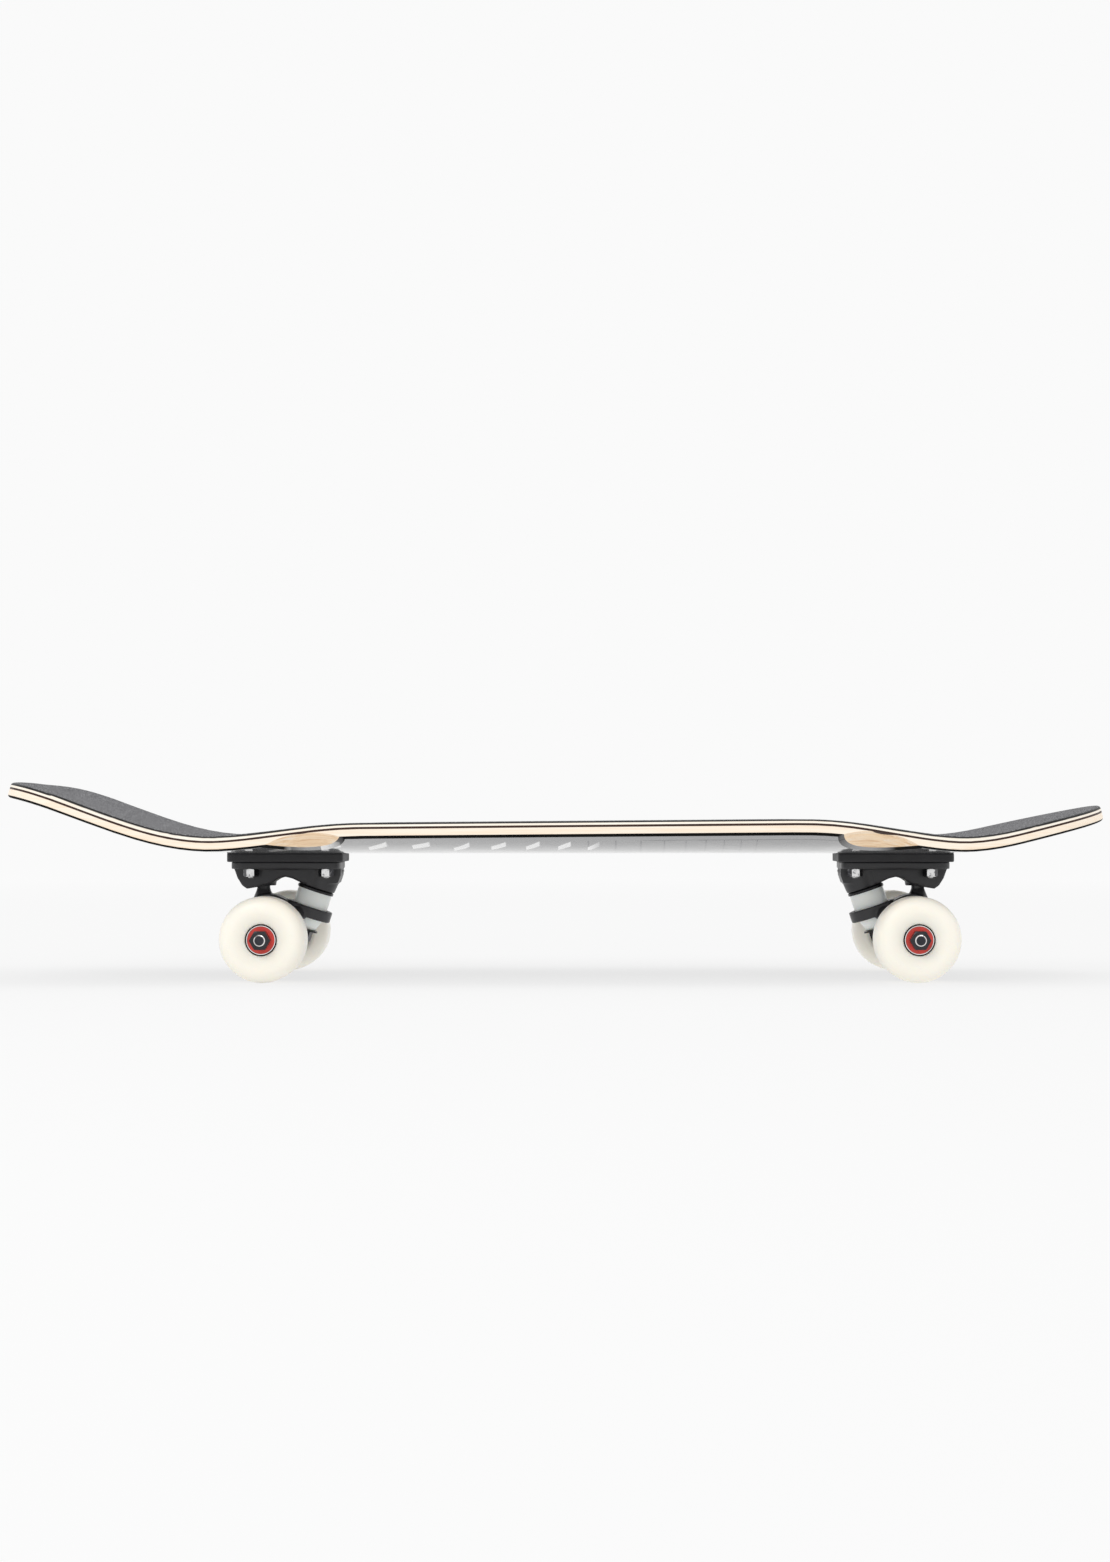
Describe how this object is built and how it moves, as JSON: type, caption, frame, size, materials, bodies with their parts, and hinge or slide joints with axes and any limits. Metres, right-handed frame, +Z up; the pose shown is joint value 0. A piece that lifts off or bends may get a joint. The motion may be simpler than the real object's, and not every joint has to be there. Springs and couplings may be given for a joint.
{
  "type": "skateboard",
  "caption": "Cruiser skateboard: kicked concave plywood deck with black grip, sprung steering trucks on riser pads and free-spinning soft wheels.",
  "frame": {"origin": "on the ground, at the centre of the board's box in plan", "axes": "+X towards the nose, +Y to the rider's left, +Z up"},
  "size_m": [0.7851, 0.216, 0.1404],
  "materials": {
    "grit": "black silicon carbide grit on adhesive tape",
    "maple": "bare maple veneer, sanded edge under clear lacquer",
    "dyed_ply": "maple veneer dyed dark brown",
    "painted_ply": "maple veneer under glossy black paint with white abstract marks",
    "hardware_steel": "bright zinc-plated steel",
    "black_steel": "black plated steel",
    "riser_rubber": "matt black",
    "black_casting": "satin black paint on cast aluminium",
    "black_urethane": "matt",
    "grey_urethane": "light grey polyurethane",
    "axle_steel": "dark steel",
    "dark_steel": "gunmetal",
    "white_urethane": "creamy white polyurethane, satin",
    "red_rubber": "satin",
    "nylon": "natural nylon"
  },
  "bodies": {
    "deck": {"grip_tape": "grit", "ply_1": "painted_ply", "ply_2": "maple", "ply_3": "maple", "ply_4": "maple", "ply_5": "dyed_ply", "ply_6": "maple", "ply_7": "maple", "mounting_bolts": "hardware_steel", "mounting_nuts": "hardware_steel", "rear_riser_pad": "riser_rubber", "rear_baseplate": "black_casting", "rear_pivot_cup": "black_urethane", "rear_kingpin": "hardware_steel", "rear_kingpin_nut": "black_steel", "rear_board_side_washer": "black_steel", "rear_board_side_bushing": "grey_urethane", "rear_road_side_bushing": "grey_urethane", "rear_road_side_washer": "black_steel", "front_riser_pad": "riser_rubber", "front_baseplate": "black_casting", "front_pivot_cup": "black_urethane", "front_kingpin": "hardware_steel", "front_kingpin_nut": "black_steel", "front_board_side_washer": "black_steel", "front_board_side_bushing": "grey_urethane", "front_road_side_bushing": "grey_urethane", "front_road_side_washer": "black_steel"},
    "rear_hanger_body": {"rear_hanger": "black_casting", "rear_axle": "axle_steel", "rear_axle_nuts": "dark_steel", "rear_speed_washers": "dark_steel", "rear_bearing_inner_rings": "dark_steel", "rear_bearing_spacers": "hardware_steel"},
    "rear_right_wheel_body": {"rear_right_wheel": "white_urethane", "rear_right_bearing_outer_rings": "dark_steel", "rear_right_bearing_shields": "red_rubber"},
    "rear_right_ball_body": {"rear_right_bearing_balls": "hardware_steel", "rear_right_bearing_cages": "nylon"},
    "rear_left_wheel_body": {"rear_left_wheel": "white_urethane", "rear_left_bearing_outer_rings": "dark_steel", "rear_left_bearing_shields": "red_rubber"},
    "rear_left_ball_body": {"rear_left_bearing_balls": "hardware_steel", "rear_left_bearing_cages": "nylon"},
    "front_hanger_body": {"front_hanger": "black_casting", "front_axle": "axle_steel", "front_axle_nuts": "dark_steel", "front_speed_washers": "dark_steel", "front_bearing_inner_rings": "dark_steel", "front_bearing_spacers": "hardware_steel"},
    "front_right_wheel_body": {"front_right_wheel": "white_urethane", "front_right_bearing_outer_rings": "dark_steel", "front_right_bearing_shields": "red_rubber"},
    "front_right_ball_body": {"front_right_bearing_balls": "hardware_steel", "front_right_bearing_cages": "nylon"},
    "front_left_wheel_body": {"front_left_wheel": "white_urethane", "front_left_bearing_outer_rings": "dark_steel", "front_left_bearing_shields": "red_rubber"},
    "front_left_ball_body": {"front_left_bearing_balls": "hardware_steel", "front_left_bearing_cages": "nylon"}
  },
  "joints": [
    {"name": "rear_steer", "type": "hinge", "parent": "deck", "child": "rear_hanger_body", "pos_m": [-0.18335, 0, 0.04707], "axis": [0.7885, 0, -0.6151], "range_deg": [-18, 18], "stiffness_Nm_per_rad": 60, "deforming": ["rear_board_side_bushing", "rear_road_side_bushing"]},
    {"name": "rear_right_wheel_spin", "type": "hinge", "parent": "rear_hanger_body", "child": "rear_right_wheel_body", "pos_m": [-0.20615, -0.0825, 0.03], "axis": [0, 1, 0], "continuous": true},
    {"name": "rear_right_ball_spin", "type": "hinge", "parent": "rear_hanger_body", "child": "rear_right_ball_body", "pos_m": [-0.20615, -0.0825, 0.03], "axis": [0, 1, 0], "continuous": true},
    {"name": "rear_left_wheel_spin", "type": "hinge", "parent": "rear_hanger_body", "child": "rear_left_wheel_body", "pos_m": [-0.20615, 0.0825, 0.03], "axis": [0, 1, 0], "continuous": true},
    {"name": "rear_left_ball_spin", "type": "hinge", "parent": "rear_hanger_body", "child": "rear_left_ball_body", "pos_m": [-0.20615, 0.0825, 0.03], "axis": [0, 1, 0], "continuous": true},
    {"name": "front_steer", "type": "hinge", "parent": "deck", "child": "front_hanger_body", "pos_m": [0.22705, 0, 0.04707], "axis": [-0.7885, 0, -0.6151], "range_deg": [-18, 18], "stiffness_Nm_per_rad": 60, "deforming": ["front_board_side_bushing", "front_road_side_bushing"]},
    {"name": "front_right_wheel_spin", "type": "hinge", "parent": "front_hanger_body", "child": "front_right_wheel_body", "pos_m": [0.24985, -0.0825, 0.03], "axis": [0, 1, 0], "continuous": true},
    {"name": "front_right_ball_spin", "type": "hinge", "parent": "front_hanger_body", "child": "front_right_ball_body", "pos_m": [0.24985, -0.0825, 0.03], "axis": [0, 1, 0], "continuous": true},
    {"name": "front_left_wheel_spin", "type": "hinge", "parent": "front_hanger_body", "child": "front_left_wheel_body", "pos_m": [0.24985, 0.0825, 0.03], "axis": [0, 1, 0], "continuous": true},
    {"name": "front_left_ball_spin", "type": "hinge", "parent": "front_hanger_body", "child": "front_left_ball_body", "pos_m": [0.24985, 0.0825, 0.03], "axis": [0, 1, 0], "continuous": true}
  ],
  "couplings": [
    {"joint": "rear_right_ball_spin", "follows": "rear_right_wheel_spin", "ratio": 0.63233},
    {"joint": "rear_left_ball_spin", "follows": "rear_left_wheel_spin", "ratio": 0.63233},
    {"joint": "front_right_ball_spin", "follows": "front_right_wheel_spin", "ratio": 0.63233},
    {"joint": "front_left_ball_spin", "follows": "front_left_wheel_spin", "ratio": 0.63233}
  ]
}
